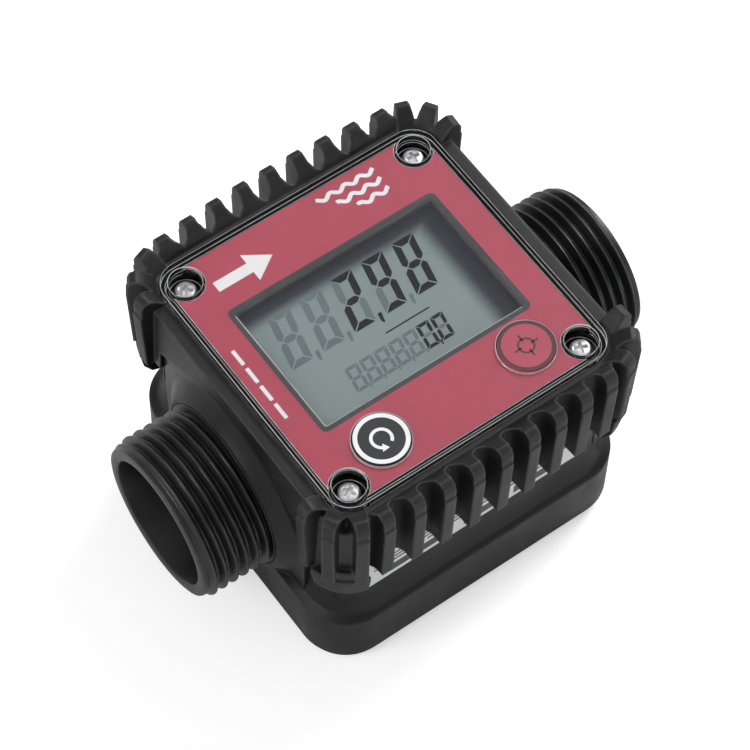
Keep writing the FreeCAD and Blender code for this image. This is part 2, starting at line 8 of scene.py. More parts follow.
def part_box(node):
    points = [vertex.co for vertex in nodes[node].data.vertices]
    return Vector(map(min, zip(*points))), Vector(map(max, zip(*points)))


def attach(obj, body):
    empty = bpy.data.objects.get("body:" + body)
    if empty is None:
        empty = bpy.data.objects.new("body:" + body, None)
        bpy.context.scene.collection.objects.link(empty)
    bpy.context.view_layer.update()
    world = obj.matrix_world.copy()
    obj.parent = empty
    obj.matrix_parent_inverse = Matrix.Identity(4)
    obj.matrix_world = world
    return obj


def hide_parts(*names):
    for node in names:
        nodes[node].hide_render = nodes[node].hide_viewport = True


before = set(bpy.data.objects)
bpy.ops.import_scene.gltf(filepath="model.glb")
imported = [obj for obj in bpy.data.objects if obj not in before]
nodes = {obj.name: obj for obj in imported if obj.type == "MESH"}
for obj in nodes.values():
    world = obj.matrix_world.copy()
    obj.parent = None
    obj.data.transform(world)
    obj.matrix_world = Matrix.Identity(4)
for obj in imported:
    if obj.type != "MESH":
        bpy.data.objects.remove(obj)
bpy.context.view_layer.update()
mm = 0.001


def corner(node, index, axis):
    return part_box(node)[index][axis]


def middle(node):
    low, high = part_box(node)
    return [(low[axis] + high[axis]) / 2 for axis in range(3)]


axisHeight = middle("rotor_shaft")[2]
labelTop = corner("face_label", 1, 2)
panelTop = corner("display_panel", 1, 2)
tubeReach = corner("flow_tube", 1, 0)
print("frame loaded:", len(nodes), "nodes")


def addNode(tree, kind, place=(0, 0), **settings):
    node = tree.nodes.new(kind)
    node.location = place
    for key, value in settings.items():
        setattr(node, key, value)
    return node


def newGroup(name, inputs, outputs):
    # a group with named sockets; inputs are (name, kind, default)
    tree = bpy.data.node_groups.new(name, "ShaderNodeTree")
    for title, kind, default in inputs:
        socket = tree.interface.new_socket(name=title, in_out="INPUT", socket_type=kind)
        if default is not None:
            socket.default_value = default
    for title, kind in outputs:
        tree.interface.new_socket(name=title, in_out="OUTPUT", socket_type=kind)
    entry = addNode(tree, "NodeGroupInput", (-900, 0))
    leave = addNode(tree, "NodeGroupOutput", (900, 0))
    return tree, entry, leave


def maths(tree, operation, first, second=None, third=None, clamp=False):
    node = addNode(tree, "ShaderNodeMath", operation=operation, use_clamp=clamp)
    for slot, value in enumerate((first, second, third)):
        if value is None:
            continue
        if isinstance(value, (int, float)):
            node.inputs[slot].default_value = value
        else:
            tree.links.new(value, node.inputs[slot])
    return node.outputs[0]


def blendColour(tree, factor, first, second):
    node = addNode(tree, "ShaderNodeMix", data_type="RGBA")
    for socket, value in ((node.inputs[0], factor), (node.inputs[6], first), (node.inputs[7], second)):
        if isinstance(value, bpy.types.NodeSocket):
            tree.links.new(value, socket)
        else:
            socket.default_value = value if isinstance(value, (int, float)) else (*value, 1)
    return node.outputs[2]


def setRange(tree, factor, limits, socket):
    # drives a socket from the first limit to the second as the factor goes from 0 to 1
    low, high = limits
    tree.links.new(maths(tree, "MULTIPLY_ADD", factor, high - low, low), socket)


def placeGroup(tree, group, **values):
    node = addNode(tree, "ShaderNodeGroup")
    node.node_tree = group
    for key, value in values.items():
        node.inputs[key].default_value = value
    return node


def objectPoint(tree):
    return addNode(tree, "ShaderNodeTexCoord", (-1200, 0)).outputs["Object"]


effects = {
    "wearAndHighlightPatches": (1.6, -0.3),
    "pitScale": 0.45, "pitDepth": 0.6,
    "swellScale": 110, "swellContrast": (2.2, -0.6),
    # turn and stretch of each set of scratches
    "scratches": ((0.4, 22.0), (1.9, 28.0)), "scratchTilt": (0.2, 0.1), "scratchContrast": (9.0, -6.1),
}


# paler edge mask: partly rubbed wear, partly a painted highlight along rounded edges and thread crests
def buildEdgeWearAndHighlight():
    inputs = [("Radius", "NodeSocketFloat", 0.0004), ("Gain", "NodeSocketFloat", 2.0),
              ("Breakup", "NodeSocketFloat", 900.0)]
    tree, entry, leave = newGroup("edgeWearAndHighlight", inputs, [("Mask", "NodeSocketFloat")])
    links = tree.links
    bevel = addNode(tree, "ShaderNodeBevel", (-700, 0), samples=4)
    links.new(entry.outputs["Radius"], bevel.inputs["Radius"])
    geometry = addNode(tree, "ShaderNodeNewGeometry", (-700, -200))
    dot = addNode(tree, "ShaderNodeVectorMath", (-500, 0), operation="DOT_PRODUCT")
    links.new(bevel.outputs[0], dot.inputs[0])
    links.new(geometry.outputs["Normal"], dot.inputs[1])
    edge = maths(tree, "SUBTRACT", 1.0, dot.outputs["Value"], clamp=True)
    noise = addNode(tree, "ShaderNodeTexNoise", (-500, -300), noise_dimensions="3D")
    links.new(objectPoint(tree), noise.inputs["Vector"])
    links.new(entry.outputs["Breakup"], noise.inputs["Scale"])
    noise.inputs["Detail"].default_value = 4
    patchy = maths(tree, "MULTIPLY_ADD", noise.outputs["Fac"], *effects["wearAndHighlightPatches"], clamp=True)
    strong = maths(tree, "MULTIPLY", edge, entry.outputs["Gain"])
    links.new(maths(tree, "MULTIPLY", strong, patchy, clamp=True), leave.inputs["Mask"])
    return tree


def buildMouldGrain():
    # fine spark-eroded grain with slow swells, as a height and a roughness change
    tree, entry, leave = newGroup("mouldGrain", [("Scale", "NodeSocketFloat", 5200.0)],
                                  [("Height", "NodeSocketFloat"), ("Gloss", "NodeSocketFloat")])
    links = tree.links
    point = objectPoint(tree)
    fine = addNode(tree, "ShaderNodeTexNoise", (-500, 200), noise_dimensions="3D")
    links.new(point, fine.inputs["Vector"])
    links.new(entry.outputs["Scale"], fine.inputs["Scale"])
    fine.inputs["Detail"].default_value = 3
    pits = addNode(tree, "ShaderNodeTexVoronoi", (-500, -50))
    links.new(point, pits.inputs["Vector"])
    links.new(maths(tree, "MULTIPLY", entry.outputs["Scale"], effects["pitScale"]), pits.inputs["Scale"])
    height = maths(tree, "MULTIPLY_ADD", pits.outputs["Distance"], effects["pitDepth"], fine.outputs["Fac"])
    links.new(height, leave.inputs["Height"])
    slow = addNode(tree, "ShaderNodeTexNoise", (-500, -300), noise_dimensions="3D")
    links.new(point, slow.inputs["Vector"])
    slow.inputs["Scale"].default_value = effects["swellScale"]
    slow.inputs["Detail"].default_value = 5
    gloss = maths(tree, "MULTIPLY_ADD", slow.outputs["Fac"], *effects["swellContrast"], clamp=True)
    links.new(gloss, leave.inputs["Gloss"])
    return tree


def buildFineScratches():
    # faint straight scratches in two directions
    tree, entry, leave = newGroup("fineScratches", [("Scale", "NodeSocketFloat", 60.0)],
                                  [("Mask", "NodeSocketFloat")])
    links = tree.links
    point = objectPoint(tree)
    masks = []
    for turn, stretch in effects["scratches"]:
        mapping = addNode(tree, "ShaderNodeMapping", (-700, 0))
        mapping.inputs["Rotation"].default_value = (*effects["scratchTilt"], turn)
        mapping.inputs["Scale"].default_value = (1.0, stretch, 1.0)
        links.new(point, mapping.inputs["Vector"])
        noise = addNode(tree, "ShaderNodeTexNoise", (-500, 0), noise_dimensions="3D")
        links.new(mapping.outputs[0], noise.inputs["Vector"])
        links.new(entry.outputs["Scale"], noise.inputs["Scale"])
        noise.inputs["Detail"].default_value = 2
        masks.append(maths(tree, "MULTIPLY_ADD", noise.outputs["Fac"], *effects["scratchContrast"],
                           clamp=True))
    links.new(maths(tree, "MAXIMUM", masks[0], masks[1]), leave.inputs["Mask"])
    return tree


def buildSoftEdges():
    # normals that run round the corners of a moulded piece
    tree, entry, leave = newGroup("softEdges", [("Radius", "NodeSocketFloat", 0.0006)],
                                  [("Normal", "NodeSocketVector")])
    bevel = addNode(tree, "ShaderNodeBevel", (0, 0), samples=6)
    tree.links.new(entry.outputs["Radius"], bevel.inputs["Radius"])
    tree.links.new(bevel.outputs[0], leave.inputs["Normal"])
    return tree


edgeWearAndHighlight = buildEdgeWearAndHighlight()
softEdgeNormals = buildSoftEdges()
mouldGrain = buildMouldGrain()
fineScratches = buildFineScratches()
print("shared effects built")


def newMaterial(name):
    material = bpy.data.materials.new(name)
    material.use_nodes = True
    tree = material.node_tree
    shader = tree.nodes["Principled BSDF"]
    return material, tree, shader


def addBump(tree, shader, height, strength, depth, normal=None):
    # small relief of a given depth in metres
    bump = addNode(tree, "ShaderNodeBump", (-300, -400))
    bump.inputs["Strength"].default_value = strength
    bump.inputs["Distance"].default_value = depth
    tree.links.new(height, bump.inputs["Height"])
    if normal is not None:
        tree.links.new(normal, bump.inputs["Normal"])
    tree.links.new(bump.outputs[0], shader.inputs["Normal"])


# what all materials of one kind share stands in front of the function; depths are in metres
nylon = {"wearAndHighlightBreakup": 700.0, "bumpDepth": 0.00004}


def blackNylon(name, settings):
    # moulded black plastic: fine grain, slow gloss changes, paler edges that are partly rubbed wear and
    # partly a painted highlight
    material, tree, shader = newMaterial(name)
    links = tree.links
    grain = placeGroup(tree, mouldGrain, Scale=settings["grainScale"])
    wearAndHighlight = placeGroup(tree, edgeWearAndHighlight, Radius=settings["edgeRadius"], Gain=settings["edgeGain"],
                      Breakup=nylon["wearAndHighlightBreakup"])
    cloudy = blendColour(tree, grain.outputs["Gloss"], settings["dark"], settings["pale"])
    links.new(blendColour(tree, wearAndHighlight.outputs["Mask"], cloudy, settings["edge"]), shader.inputs["Base Color"])
    setRange(tree, grain.outputs["Gloss"], settings["roughness"], shader.inputs["Roughness"])
    soft = placeGroup(tree, softEdgeNormals, Radius=settings["softRadius"])
    addBump(tree, shader, grain.outputs["Height"], settings["bump"], nylon["bumpDepth"],
            soft.outputs["Normal"])
    shader.inputs["Specular IOR Level"].default_value = settings["specular"]
    return material


# each edge colour is partly worn plastic and partly a painted highlight
bodyPlastic = blackNylon("satinNylonBody", {
    "dark": (0.0035, 0.0035, 0.0040), "pale": (0.0115, 0.0115, 0.0122), "edge": (0.055, 0.055, 0.058),
    "roughness": (0.34, 0.54), "grainScale": 4200.0, "bump": 0.45, "edgeRadius": 0.0008, "edgeGain": 5.0,
    "softRadius": 0.0009, "specular": 0.30})
guardPlastic = blackNylon("mattNylonGuard", {
    "dark": (0.0040, 0.0040, 0.0045), "pale": (0.0115, 0.0115, 0.0120), "edge": (0.070, 0.070, 0.073),
    "roughness": (0.44, 0.60), "grainScale": 5200.0, "bump": 0.5, "edgeRadius": 0.0008, "edgeGain": 6.0,
    "softRadius": 0.0009, "specular": 0.42})
tubePlastic = blackNylon("satinNylonTube", {
    "dark": (0.0080, 0.0080, 0.0090), "pale": (0.0180, 0.0180, 0.0195), "edge": (0.110, 0.110, 0.115),
    "roughness": (0.30, 0.46), "grainScale": 4200.0, "bump": 0.3, "edgeRadius": 0.0004, "edgeGain": 4.0,
    "softRadius": 0.0002, "specular": 0.45})
framePlastic = blackNylon("greyDisplayFrame", {
    "dark": (0.050, 0.053, 0.057), "pale": (0.085, 0.088, 0.094), "edge": (0.30, 0.30, 0.31),
    "roughness": (0.35, 0.50), "grainScale": 5200.0, "bump": 0.3, "edgeRadius": 0.0003, "edgeGain": 1.8,
    "softRadius": 0.0002, "specular": 0.5})
guidePlastic = blackNylon("blackAcetal", {
    "dark": (0.010, 0.010, 0.011), "pale": (0.018, 0.018, 0.020), "edge": (0.07, 0.07, 0.07),
    "roughness": (0.28, 0.42), "grainScale": 3000.0, "bump": 0.2, "edgeRadius": 0.0003, "edgeGain": 1.4,
    "softRadius": 0.0003, "specular": 0.5})
rotorPlastic = blackNylon("whiteAcetal", {
    "dark": (0.68, 0.68, 0.66), "pale": (0.78, 0.78, 0.76), "edge": (0.85, 0.85, 0.83),
    "roughness": (0.30, 0.45), "grainScale": 3000.0, "bump": 0.2, "edgeRadius": 0.0003, "edgeGain": 1.0,
    "softRadius": 0.0003, "specular": 0.5})


metal = {"grainScale": 2600.0, "bump": 0.25, "bumpDepth": 0.00002}


def plainMetal(name, settings):
    # bare or plated metal with slow gloss changes and fine scratches
    material, tree, shader = newMaterial(name)
    grain = placeGroup(tree, mouldGrain, Scale=metal["grainScale"])
    scratch = placeGroup(tree, fineScratches, Scale=settings["scratchScale"])
    cloudy = blendColour(tree, grain.outputs["Gloss"], settings["dark"], settings["pale"])
    scratched = blendColour(tree, scratch.outputs["Mask"], cloudy, settings["scratch"])
    tree.links.new(scratched, shader.inputs["Base Color"])
    shader.inputs["Metallic"].default_value = 1.0
    setRange(tree, grain.outputs["Gloss"], settings["roughness"], shader.inputs["Roughness"])
    addBump(tree, shader, scratch.outputs["Mask"], metal["bump"], metal["bumpDepth"])
    return material


zincSteel = plainMetal("brightZinc", {
    "dark": (0.74, 0.74, 0.75), "pale": (0.88, 0.88, 0.89), "scratch": (0.55, 0.55, 0.55),
    "roughness": (0.28, 0.46), "scratchScale": 240.0})
springSteel = plainMetal("springSteel", {
    "dark": (0.50, 0.50, 0.51), "pale": (0.64, 0.64, 0.65), "scratch": (0.40, 0.40, 0.40),
    "roughness": (0.22, 0.40), "scratchScale": 160.0})


plain = {"grainScale": 3600.0, "bump": 0.25, "bumpDepth": 0.00003, "specular": 0.5}


def plainStuff(name, settings):
    # small inner pieces: one colour with slow changes
    material, tree, shader = newMaterial(name)
    grain = placeGroup(tree, mouldGrain, Scale=plain["grainScale"])
    tree.links.new(blendColour(tree, grain.outputs["Gloss"], settings["dark"], settings["pale"]),
                   shader.inputs["Base Color"])
    setRange(tree, grain.outputs["Gloss"], settings["roughness"], shader.inputs["Roughness"])
    shader.inputs["Specular IOR Level"].default_value = settings.get("specular", plain["specular"])
    addBump(tree, shader, grain.outputs["Height"], plain["bump"], plain["bumpDepth"])
    return material


sealRubber = plainStuff("nitrileRubber", {
    "dark": (0.008, 0.008, 0.008), "pale": (0.014, 0.014, 0.014), "roughness": (0.60, 0.75)})
stripRubber = plainStuff("layeredRubber", {
    "dark": (0.50, 0.26, 0.32), "pale": (0.62, 0.36, 0.42), "roughness": (0.55, 0.70)})
boardGreen = plainStuff("solderMask", {
    "dark": (0.020, 0.11, 0.04), "pale": (0.035, 0.16, 0.06), "roughness": (0.25, 0.40)})
switchBlack = plainStuff("switchPlastic", {
    "dark": (0.015, 0.015, 0.015), "pale": (0.025, 0.025, 0.025), "roughness": (0.40, 0.50)})
cellJacket = plainStuff("cellJacket", {
    "dark": (0.05, 0.05, 0.06), "pale": (0.08, 0.08, 0.09), "roughness": (0.25, 0.40)})
ferrite = plainStuff("ferrite", {
    "dark": (0.06, 0.06, 0.065), "pale": (0.10, 0.10, 0.105), "roughness": (0.45, 0.60)})
bushPlastic = plainStuff("filledBearingPlastic", {
    "dark": (0.30, 0.24, 0.13), "pale": (0.40, 0.33, 0.20), "roughness": (0.45, 0.60)})
sensorBlack = plainStuff("sensorCase", {
    "dark": (0.012, 0.012, 0.012), "pale": (0.020, 0.020, 0.020), "roughness": (0.45, 0.55)})


film = {"grainScale": 7000.0, "bump": 0.12, "bumpDepth": 0.00002, "rub": 0.12}


def printedFilm(name, settings):
    # ink on film: fine print grain, a soft satin and faint handling marks
    material, tree, shader = newMaterial(name)
    grain = placeGroup(tree, mouldGrain, Scale=film["grainScale"])
    scratch = placeGroup(tree, fineScratches, Scale=settings["scratchScale"])
    cloudy = blendColour(tree, grain.outputs["Gloss"], settings["dark"], settings["pale"])
    faint = maths(tree, "MULTIPLY", scratch.outputs["Mask"], film["rub"])
    tree.links.new(blendColour(tree, faint, cloudy, settings["rubbed"]), shader.inputs["Base Color"])
    setRange(tree, scratch.outputs["Mask"], settings["roughness"], shader.inputs["Roughness"])
    addBump(tree, shader, grain.outputs["Height"], film["bump"], film["bumpDepth"])
    return material


labelRed = printedFilm("crimsonFilm", {
    "dark": (0.39, 0.020, 0.058), "pale": (0.45, 0.029, 0.072), "rubbed": (0.50, 0.12, 0.16),
    "roughness": (0.42, 0.30), "scratchScale": 40.0})
labelWhite = printedFilm("whiteInk", {
    "dark": (0.80, 0.80, 0.80), "pale": (0.86, 0.86, 0.86), "rubbed": (0.70, 0.70, 0.70),
    "roughness": (0.45, 0.35), "scratchScale": 40.0})
buttonBlack = printedFilm("blackKeycap", {
    "dark": (0.016, 0.018, 0.021), "pale": (0.026, 0.028, 0.032), "rubbed": (0.10, 0.10, 0.10),
    "roughness": (0.42, 0.30), "scratchScale": 40.0})
buttonRed = printedFilm("crimsonKeycap", {
    "dark": (0.36, 0.045, 0.080), "pale": (0.42, 0.058, 0.096), "rubbed": (0.50, 0.14, 0.18),
    "roughness": (0.46, 0.36), "scratchScale": 40.0})
buttonRing = printedFilm("darkRedRing", {
    "dark": (0.050, 0.016, 0.022), "pale": (0.075, 0.024, 0.032), "rubbed": (0.14, 0.06, 0.07),
    "roughness": (0.42, 0.32), "scratchScale": 40.0})
stickerWhite = printedFilm("whiteVinyl", {
    "dark": (0.70, 0.70, 0.71), "pale": (0.80, 0.80, 0.81), "rubbed": (0.60, 0.60, 0.60),
    "roughness": (0.40, 0.50), "scratchScale": 60.0})
stickerInk = printedFilm("greyStickerInk", {
    "dark": (0.030, 0.030, 0.032), "pale": (0.050, 0.050, 0.052), "rubbed": (0.12, 0.12, 0.12),
    "roughness": (0.40, 0.50), "scratchScale": 60.0})


def clearPlastic(name, settings):
    # clear moulding that fine scratches dull a little
    material, tree, shader = newMaterial(name)
    shader.inputs["Base Color"].default_value = (*settings["tint"], 1)
    shader.inputs["Transmission Weight"].default_value = 1.0
    shader.inputs["IOR"].default_value = settings["bending"]
    scratch = placeGroup(tree, fineScratches, Scale=settings["scratchScale"])
    setRange(tree, scratch.outputs["Mask"], settings["roughness"], shader.inputs["Roughness"])
    return material


def displayGlass(name, settings):
    # grey-green reflector with slow mottling, darker where the frame shades it
    material, tree, shader = newMaterial(name)
    links = tree.links
    point = objectPoint(tree)
    slow = addNode(tree, "ShaderNodeTexNoise", (-700, 0), noise_dimensions="3D")
    links.new(point, slow.inputs["Vector"])
    slow.inputs["Scale"].default_value = settings["mottleScale"]
    slow.inputs["Detail"].default_value = 3
    bright = blendColour(tree, slow.outputs["Fac"], settings["dark"], settings["pale"])
    split = addNode(tree, "ShaderNodeSeparateXYZ", (-700, -200))
    links.new(point, split.inputs[0])
    shades = []
    for axis, (full, reach) in settings["shade"].items():
        edge = corner("display_panel", 1, "XY".index(axis))
        ramp = addNode(tree, "ShaderNodeMapRange", (-500, -200), interpolation_type="SMOOTHSTEP")
        links.new(split.outputs[axis], ramp.inputs["Value"])
        ramp.inputs["From Min"].default_value = edge - reach
        ramp.inputs["From Max"].default_value = edge - full
        shades.append(ramp.outputs[0])
    shade = maths(tree, "MAXIMUM", shades[0], shades[1])
    links.new(blendColour(tree, maths(tree, "MULTIPLY", shade, settings["shadeDepth"]), bright,
                          settings["shaded"]), shader.inputs["Base Color"])
    setRange(tree, slow.outputs["Fac"], settings["roughness"], shader.inputs["Roughness"])
    shader.inputs["Specular IOR Level"].default_value = settings["specular"]
    return material


clearCover = clearPlastic("clearPolycarbonate", {
    "tint": (0.97, 0.975, 0.98), "bending": 1.38, "roughness": (0.02, 0.08), "scratchScale": 90.0})
# painted highlight: a pale opaque colour on the clear cover's rounded edges stands in for the light they
# catch
coverEdgeHighlight = printedFilm("paintedHighlightCoverEdge", {
    "dark": (0.52, 0.52, 0.53), "pale": (0.68, 0.68, 0.69), "rubbed": (0.74, 0.74, 0.74),
    "roughness": (0.22, 0.34), "scratchScale": 80.0})
windowGrey = printedFilm("greyWindowBorder", {
    "dark": (0.016, 0.016, 0.020), "pale": (0.026, 0.026, 0.032), "rubbed": (0.07, 0.07, 0.07),
    "roughness": (0.35, 0.30), "scratchScale": 80.0})
# painted highlight: the pale chamfer colour stands in for light caught by the window's inner edge
windowChamferHighlight = printedFilm("windowChamfer", {
    "dark": (0.38, 0.39, 0.40), "pale": (0.48, 0.49, 0.50), "rubbed": (0.5, 0.5, 0.5),
    "roughness": (0.30, 0.24), "scratchScale": 80.0})
lcdGlass = displayGlass("greyGreenDisplay", {
    "dark": (0.205, 0.255, 0.250), "pale": (0.265, 0.320, 0.310), "shaded": (0.020, 0.023, 0.038),
    # from each edge in metres: where the shade is full and where it ends
    "shade": {"X": (0.0032, 0.0074), "Y": (0.0020, 0.0056)}, "shadeDepth": 0.97,
    "mottleScale": 45, "roughness": (0.5, 0.62), "specular": 0.02})
segmentDark = plainStuff("segmentDark", {
    "dark": (0.003, 0.005, 0.009), "pale": (0.006, 0.009, 0.014), "roughness": (0.5, 0.6),
    "specular": 0.02})
segmentGhost = plainStuff("segmentGhost", {
    "dark": (0.122, 0.156, 0.162), "pale": (0.150, 0.188, 0.192), "roughness": (0.5, 0.6),
    "specular": 0.02})
print("materials built")


def finishMesh(name, mesh, material, body, smoothAngle=None):
    piece = bpy.data.objects.new(name, mesh)
    bpy.context.scene.collection.objects.link(piece)
    mesh.materials.append(material)
    if smoothAngle is not None:
        mesh.shade_smooth()
        mesh.set_sharp_from_angle(angle=math.radians(smoothAngle))
    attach(piece, body)
    return piece


def fromBmesh(name, bm, material, body, smoothAngle=None):
    bmesh.ops.recalc_face_normals(bm, faces=bm.faces)
    mesh = bpy.data.meshes.new(name)
    bm.to_mesh(mesh)
    bm.free()
    return finishMesh(name, mesh, material, body, smoothAngle)


def bridge(bm, first, second):
    # quads between two closed loops with as many vertices
    for index in range(len(first)):
        after = (index + 1) % len(first)
        bm.faces.new((first[index], first[after], second[after], second[index]))


def joinLoops(bm, loops, closed=True):
    # skin of quads through a chain of loops
    after = loops[1:] + loops[:1] if closed else loops[1:]
    for first, second in zip(loops, after):
        bridge(bm, first, second)


softening = {"mergeGap": 0.000002, "flatAngle": 1.0, "cornerAngle": 32, "segments": 2, "areaWeight": 80}


def softenNode(name, material, width=None):
    # a moulded piece has no knife edges: weld the mesh, merge its flat faces and round its corners
    piece = nodes[name]
    piece.data.materials.clear()
    piece.data.materials.append(material)
    if width:
        weld = piece.modifiers.new("weld", "WELD")
        weld.merge_threshold = softening["mergeGap"]
        flat = piece.modifiers.new("flat", "DECIMATE")
        flat.decimate_type = "DISSOLVE"
        flat.angle_limit = math.radians(softening["flatAngle"])
        bevel = piece.modifiers.new("edges", "BEVEL")
        bevel.width = width
        bevel.segments = softening["segments"]
        bevel.limit_method = "ANGLE"
        bevel.angle_limit = math.radians(softening["cornerAngle"])
        bevel.miter_outer = "MITER_ARC"
        bevel.harden_normals = False
        piece.data.shade_smooth()
        normals = piece.modifiers.new("normals", "WEIGHTED_NORMAL")
        normals.keep_sharp = False
        normals.weight = softening["areaWeight"]


nodeLooks = {
    # material of each node and, for a moulded one, the width of its rounded edges in millimetres
    "meter_body": (bodyPlastic, 0.45),
    "finned_guard": (guardPlastic, 0.5),
    "battery_hatch": (bodyPlastic, 0.25),
    "display_frame": (framePlastic, 0.12),
    "clear_cover": (clearCover, 0.3),
    "cover_gasket": (sealRubber, None),
    "face_label": (labelRed, None),
    "display_panel": (lcdGlass, None),
    "contact_strips": (stripRubber, None),
    "circuit_board": (boardGreen, None),
    "push_switches": (switchBlack, None),
    "reset_button": (buttonBlack, 0.3),
    "cal_button": (buttonRed, 0.3),
    "flow_sensor": (sensorBlack, None),
    "battery_cells": (cellJacket, None),
    "battery_contacts": (springSteel, None),
    "hatch_screws": (zincSteel, None),
    "cover_screws": (zincSteel, None),
    "turbine_rotor": (rotorPlastic, 0.15),
    "rotor_magnets": (ferrite, None),
    "rotor_shaft": (springSteel, None),
    "inlet_guide": (guidePlastic, 0.15),
    "outlet_guide": (guidePlastic, 0.15),
    "inlet_bush": (bushPlastic, None),
    "outlet_bush": (bushPlastic, None),
    "inlet_retaining_ring": (springSteel, None),
    "outlet_retaining_ring": (springSteel, None),
    "rating_sticker": (stickerWhite, None),
    "flow_tube": (tubePlastic, None),
}
for nodeName, (material, width) in nodeLooks.items():
    softenNode(nodeName, material, width * mm if width else None)
cover = nodes["clear_cover"]
cover.data.materials.append(coverEdgeHighlight)
cover.modifiers["edges"].material = 1  # the cover's rounded edges catch the light
print("carried-over nodes finished")


tubeThread = {
    "pitch": 2.309, "crestRadius": 16.62, "rootRadius": 15.145, "crestShare": 0.16, "rootShare": 0.16,
    "runIn": 0.9, "lip": 0.9, "fade": 0.9, "endBandRadius": 15.75, "endChamfer": 0.55,
    "around": 128, "rowsPerPitch": 14, "firstRow": 0.02, "boreChamfer": 0.5, "easeShare": 0.3,
    "landRadius": 16.9, "spigotLength": 14.6, "guideGap": 0.1, "innerEnd": 13.0, "innerStep": 0.7,
    "smoothAngle": 38,
}


def threadShare(phase, settings):
    # 0 at the root and 1 at the crest of a rounded 55 degree thread
    phase = phase % 1.0
    crest, root = settings["crestShare"], settings["rootShare"]
    flank = (1 - crest - root) / 2
    away = abs(phase - 0.5)
    if away < crest / 2:
        return 1.0
    if away > crest / 2 + flank:
        return 0.0
    return 1 - (away - crest / 2) / flank


def buildThreadedTube(settings):
    bm = bmesh.new()
    around = settings["around"]
    crest, root = settings["crestRadius"], settings["rootRadius"]
    band, land = settings["endBandRadius"], settings["landRadius"]
    reach = tubeReach / mm
    bore = corner("inlet_guide", 1, 1) / mm + settings["guideGap"]
    start = reach - settings["spigotLength"]
    end = reach - settings["lip"]

    def ring(x, radiusAt):
        row = []
        for index in range(around):
            turn = 2 * math.pi * index / around
            radius = radiusAt(turn) * mm
            place = (x * mm, radius * math.cos(turn), axisHeight + radius * math.sin(turn))
            row.append(bm.verts.new(place))
        return row

    def threadRadius(x):
        runIn = min(1.0, max(0.0, (x - start) / settings["runIn"]))
        fadeOut = min(1.0, max(0.0, (end - x) / settings["fade"]))

        def radiusAt(turn):
            share = threadShare(x / settings["pitch"] + turn / (2 * math.pi), settings)
            full = root + (crest - root) * share
            return band + (root + (full - root) * runIn - band) * fadeOut
        return radiusAt

    half = [(0.0, lambda turn: land), (start, lambda turn: land)]
    step = settings["pitch"] / settings["rowsPerPitch"]
    rows = int((end - start) / step)
    for row in range(rows + 1):
        x = start + settings["firstRow"] + row * step
        half.append((x, threadRadius(x)))
    chamfer, inner = settings["endChamfer"], settings["boreChamfer"]
    ease, innerEnd = settings["easeShare"], settings["innerEnd"]
    half += [(end, lambda turn: band), (reach - chamfer, lambda turn: band),
             (reach - chamfer * ease, lambda turn: band - chamfer * ease),
             (reach, lambda turn: band - chamfer), (reach, lambda turn: bore + inner),
             (reach - inner * ease, lambda turn: bore + inner * ease), (reach - inner, lambda turn: bore),
             (innerEnd, lambda turn: bore), (innerEnd, lambda turn: bore - settings["innerStep"])]
    right = [ring(place, radius) for place, radius in half]
    left = [ring(-place, radius) for place, radius in half[1:]]
    joinLoops(bm, left[::-1] + right)
    return fromBmesh("threadedTube", bm, tubePlastic, "housing", settings["smoothAngle"])


threadedTube = buildThreadedTube(tubeThread)
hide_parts("flow_tube")
print("threaded tube built")


displayDigits = {
    "lift": 0.03, "thickness": 0.02,
    # first place's middle, step between places, size and stroke of one figure, and the reading
    "large": {"start": -16.0, "pitch": 7.0, "y": 6.4, "width": 4.7, "height": 11.8, "stroke": 1.42,
              "slant": 0.22, "reading": "  298", "mark": 2},
    "small": {"start": -10.9, "pitch": 3.17, "y": -7.4, "width": 2.75, "height": 5.4, "stroke": 0.7,
              "slant": 0.15, "reading": "     00", "mark": 5},
    "rule": {"x0": -1.2, "x1": 8.6, "y": -2.75, "width": 0.3},
    # the comma's outline in strokes, and how far it stands before the middle of the gap
    "comma": [(0, 0.7), (0.6, 0.7), (0.5, -0.9), (0.1, -0.6)], "commaLead": 0.3,
    "segmentGap": 0.13,
}
litSegments = {"0": "abcdef", "2": "abged", "8": "abcdefg", "9": "abcdfg", " ": ""}


def segmentOutline(letter, width, height, stroke, gapShare):
    # corner points of one segment of a seven-segment figure about its middle
    w, h, s = width / 2, height / 2, stroke
    gap = s * gapShare
    if letter == "g":
        return [(-w + s * 0.5 + gap, 0), (-w + s + gap, s / 2), (w - s - gap, s / 2),
                (w - s * 0.5 - gap, 0), (w - s - gap, -s / 2), (-w + s + gap, -s / 2)]
    if letter in "ad":
        up = 1 if letter == "a" else -1
        return [(-w + gap, up * h), (w - gap, up * h), (w - s - gap, up * (h - s)),
                (-w + s + gap, up * (h - s))]
    side = -1 if letter in "fe" else 1
    up = 1 if letter in "fb" else -1
    return [(side * w, up * (h - gap)), (side * (w - s), up * (h - s - gap)),
            (side * (w - s), up * (s * 0.5 + gap)), (side * (w - s * 0.5), up * gap),
            (side * w, up * (s * 0.5 + gap))]


def slab(bm, outline, bottom, top):
    # upright prism from an outline in metres
    low = [bm.verts.new((x, y, bottom)) for x, y in outline]
    high = [bm.verts.new((x, y, top)) for x, y in outline]
    bm.faces.new(low)
    bm.faces.new(high)
    bridge(bm, low, high)


